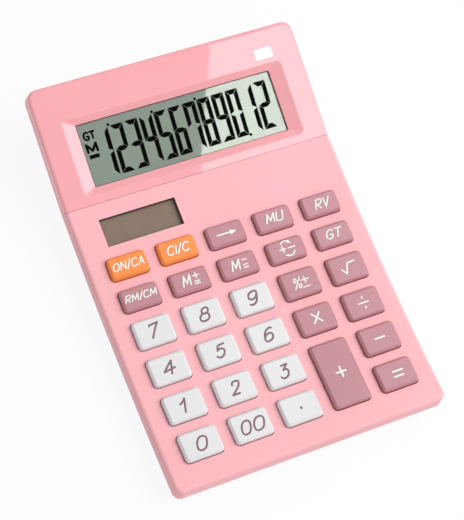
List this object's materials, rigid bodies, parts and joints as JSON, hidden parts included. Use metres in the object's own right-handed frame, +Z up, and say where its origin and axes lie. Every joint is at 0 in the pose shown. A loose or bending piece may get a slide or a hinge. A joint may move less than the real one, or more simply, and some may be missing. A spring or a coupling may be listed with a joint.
{
  "type": "desk calculator",
  "caption": "Desk calculator with a hollow-curved key deck, a raised display panel with a bevelled window, a solar cell and sprung flat keys",
  "frame": {"origin": "bottom centre of the bounding box, on the plane the feet rest on", "axes": "+X to the right hand of a user, +Y from the user to the display, +Z up"},
  "size_m": [0.109, 0.1602, 0.0296],
  "materials": {
    "case_pink": "satin",
    "panel_pink": "gloss",
    "key_white": "satin",
    "key_mauve": "satin",
    "key_orange": "satin",
    "clear_window": "clear",
    "display_glass": "smooth",
    "white_plastic": "matte",
    "ribbon_film": "smooth",
    "solar_glass": "smooth",
    "foam": "matte",
    "tinned_wire": "smooth",
    "keypad_rubber": "matte",
    "board_laminate": "matte",
    "black_resin": "gloss",
    "capacitor_can": "smooth",
    "spring_steel": "smooth",
    "cell_steel": "smooth",
    "screw_steel": "smooth",
    "foot_rubber": "matte"
  },
  "bodies": {
    "case": {"upper_case": "case_pink", "lower_case": "case_pink", "display_panel": "panel_pink", "display_window": "clear_window", "lcd_panel": "display_glass", "lcd_retainer": "white_plastic", "lcd_ribbon": "ribbon_film", "solar_cell": "solar_glass", "solar_pad": "foam", "solar_leads": "tinned_wire", "rubber_keypad": "keypad_rubber", "circuit_board": "board_laminate", "controller_chip": "black_resin", "capacitor": "capacitor_can", "battery_clip": "spring_steel", "button_cell": "cell_steel", "battery_cover": "case_pink", "cover_screw": "screw_steel", "case_screws": "screw_steel", "board_screws": "screw_steel", "retainer_screws": "screw_steel", "rubber_feet": "foot_rubber"},
    "key_on_clear_all": {"key_on_clear_all": "key_orange"},
    "key_clear": {"key_clear": "key_orange"},
    "key_shift": {"key_shift": "key_mauve"},
    "key_markup": {"key_markup": "key_mauve"},
    "key_reverse": {"key_reverse": "key_mauve"},
    "key_memory_recall": {"key_memory_recall": "key_mauve"},
    "key_memory_plus": {"key_memory_plus": "key_mauve"},
    "key_memory_minus": {"key_memory_minus": "key_mauve"},
    "key_sign": {"key_sign": "key_mauve"},
    "key_grand_total": {"key_grand_total": "key_mauve"},
    "key_percent": {"key_percent": "key_mauve"},
    "key_root": {"key_root": "key_mauve"},
    "key_multiply": {"key_multiply": "key_mauve"},
    "key_divide": {"key_divide": "key_mauve"},
    "key_plus": {"key_plus": "key_mauve"},
    "key_minus": {"key_minus": "key_mauve"},
    "key_equals": {"key_equals": "key_mauve"},
    "key_7": {"key_7": "key_white"},
    "key_8": {"key_8": "key_white"},
    "key_9": {"key_9": "key_white"},
    "key_4": {"key_4": "key_white"},
    "key_5": {"key_5": "key_white"},
    "key_6": {"key_6": "key_white"},
    "key_1": {"key_1": "key_white"},
    "key_2": {"key_2": "key_white"},
    "key_3": {"key_3": "key_white"},
    "key_0": {"key_0": "key_white"},
    "key_00": {"key_00": "key_white"},
    "key_point": {"key_point": "key_white"}
  },
  "joints": [
    {"name": "key_on_clear_all_press", "type": "slide", "parent": "case", "child": "key_on_clear_all", "axis": [0, 0.027, -0.9996], "range_m": [0, 0.0012], "stiffness_N_per_m": 300, "deforming": ["rubber_keypad"]},
    {"name": "key_clear_press", "type": "slide", "parent": "case", "child": "key_clear", "axis": [0, 0.027, -0.9996], "range_m": [0, 0.0012], "stiffness_N_per_m": 300, "deforming": ["rubber_keypad"]},
    {"name": "key_shift_press", "type": "slide", "parent": "case", "child": "key_shift", "axis": [0, 0.027, -0.9996], "range_m": [0, 0.0012], "stiffness_N_per_m": 300, "deforming": ["rubber_keypad"]},
    {"name": "key_markup_press", "type": "slide", "parent": "case", "child": "key_markup", "axis": [0, 0.027, -0.9996], "range_m": [0, 0.0012], "stiffness_N_per_m": 300, "deforming": ["rubber_keypad"]},
    {"name": "key_reverse_press", "type": "slide", "parent": "case", "child": "key_reverse", "axis": [0, 0.027, -0.9996], "range_m": [0, 0.0012], "stiffness_N_per_m": 300, "deforming": ["rubber_keypad"]},
    {"name": "key_memory_recall_press", "type": "slide", "parent": "case", "child": "key_memory_recall", "axis": [0, 0.027, -0.9996], "range_m": [0, 0.0012], "stiffness_N_per_m": 300, "deforming": ["rubber_keypad"]},
    {"name": "key_memory_plus_press", "type": "slide", "parent": "case", "child": "key_memory_plus", "axis": [0, 0.027, -0.9996], "range_m": [0, 0.0012], "stiffness_N_per_m": 300, "deforming": ["rubber_keypad"]},
    {"name": "key_memory_minus_press", "type": "slide", "parent": "case", "child": "key_memory_minus", "axis": [0, 0.027, -0.9996], "range_m": [0, 0.0012], "stiffness_N_per_m": 300, "deforming": ["rubber_keypad"]},
    {"name": "key_sign_press", "type": "slide", "parent": "case", "child": "key_sign", "axis": [0, 0.027, -0.9996], "range_m": [0, 0.0012], "stiffness_N_per_m": 300, "deforming": ["rubber_keypad"]},
    {"name": "key_grand_total_press", "type": "slide", "parent": "case", "child": "key_grand_total", "axis": [0, 0.027, -0.9996], "range_m": [0, 0.0012], "stiffness_N_per_m": 300, "deforming": ["rubber_keypad"]},
    {"name": "key_percent_press", "type": "slide", "parent": "case", "child": "key_percent", "axis": [0, 0.027, -0.9996], "range_m": [0, 0.0012], "stiffness_N_per_m": 300, "deforming": ["rubber_keypad"]},
    {"name": "key_root_press", "type": "slide", "parent": "case", "child": "key_root", "axis": [0, 0.027, -0.9996], "range_m": [0, 0.0012], "stiffness_N_per_m": 300, "deforming": ["rubber_keypad"]},
    {"name": "key_multiply_press", "type": "slide", "parent": "case", "child": "key_multiply", "axis": [0, 0.027, -0.9996], "range_m": [0, 0.0012], "stiffness_N_per_m": 300, "deforming": ["rubber_keypad"]},
    {"name": "key_divide_press", "type": "slide", "parent": "case", "child": "key_divide", "axis": [0, 0.027, -0.9996], "range_m": [0, 0.0012], "stiffness_N_per_m": 300, "deforming": ["rubber_keypad"]},
    {"name": "key_plus_press", "type": "slide", "parent": "case", "child": "key_plus", "axis": [0, 0.027, -0.9996], "range_m": [0, 0.0012], "stiffness_N_per_m": 300, "deforming": ["rubber_keypad"]},
    {"name": "key_minus_press", "type": "slide", "parent": "case", "child": "key_minus", "axis": [0, 0.027, -0.9996], "range_m": [0, 0.0012], "stiffness_N_per_m": 300, "deforming": ["rubber_keypad"]},
    {"name": "key_equals_press", "type": "slide", "parent": "case", "child": "key_equals", "axis": [0, 0.027, -0.9996], "range_m": [0, 0.0012], "stiffness_N_per_m": 300, "deforming": ["rubber_keypad"]},
    {"name": "key_7_press", "type": "slide", "parent": "case", "child": "key_7", "axis": [0, 0.027, -0.9996], "range_m": [0, 0.0012], "stiffness_N_per_m": 300, "deforming": ["rubber_keypad"]},
    {"name": "key_8_press", "type": "slide", "parent": "case", "child": "key_8", "axis": [0, 0.027, -0.9996], "range_m": [0, 0.0012], "stiffness_N_per_m": 300, "deforming": ["rubber_keypad"]},
    {"name": "key_9_press", "type": "slide", "parent": "case", "child": "key_9", "axis": [0, 0.027, -0.9996], "range_m": [0, 0.0012], "stiffness_N_per_m": 300, "deforming": ["rubber_keypad"]},
    {"name": "key_4_press", "type": "slide", "parent": "case", "child": "key_4", "axis": [0, 0.027, -0.9996], "range_m": [0, 0.0012], "stiffness_N_per_m": 300, "deforming": ["rubber_keypad"]},
    {"name": "key_5_press", "type": "slide", "parent": "case", "child": "key_5", "axis": [0, 0.027, -0.9996], "range_m": [0, 0.0012], "stiffness_N_per_m": 300, "deforming": ["rubber_keypad"]},
    {"name": "key_6_press", "type": "slide", "parent": "case", "child": "key_6", "axis": [0, 0.027, -0.9996], "range_m": [0, 0.0012], "stiffness_N_per_m": 300, "deforming": ["rubber_keypad"]},
    {"name": "key_1_press", "type": "slide", "parent": "case", "child": "key_1", "axis": [0, 0.027, -0.9996], "range_m": [0, 0.0012], "stiffness_N_per_m": 300, "deforming": ["rubber_keypad"]},
    {"name": "key_2_press", "type": "slide", "parent": "case", "child": "key_2", "axis": [0, 0.027, -0.9996], "range_m": [0, 0.0012], "stiffness_N_per_m": 300, "deforming": ["rubber_keypad"]},
    {"name": "key_3_press", "type": "slide", "parent": "case", "child": "key_3", "axis": [0, 0.027, -0.9996], "range_m": [0, 0.0012], "stiffness_N_per_m": 300, "deforming": ["rubber_keypad"]},
    {"name": "key_0_press", "type": "slide", "parent": "case", "child": "key_0", "axis": [0, 0.027, -0.9996], "range_m": [0, 0.0012], "stiffness_N_per_m": 300, "deforming": ["rubber_keypad"]},
    {"name": "key_00_press", "type": "slide", "parent": "case", "child": "key_00", "axis": [0, 0.027, -0.9996], "range_m": [0, 0.0012], "stiffness_N_per_m": 300, "deforming": ["rubber_keypad"]},
    {"name": "key_point_press", "type": "slide", "parent": "case", "child": "key_point", "axis": [0, 0.027, -0.9996], "range_m": [0, 0.0012], "stiffness_N_per_m": 300, "deforming": ["rubber_keypad"]}
  ]
}
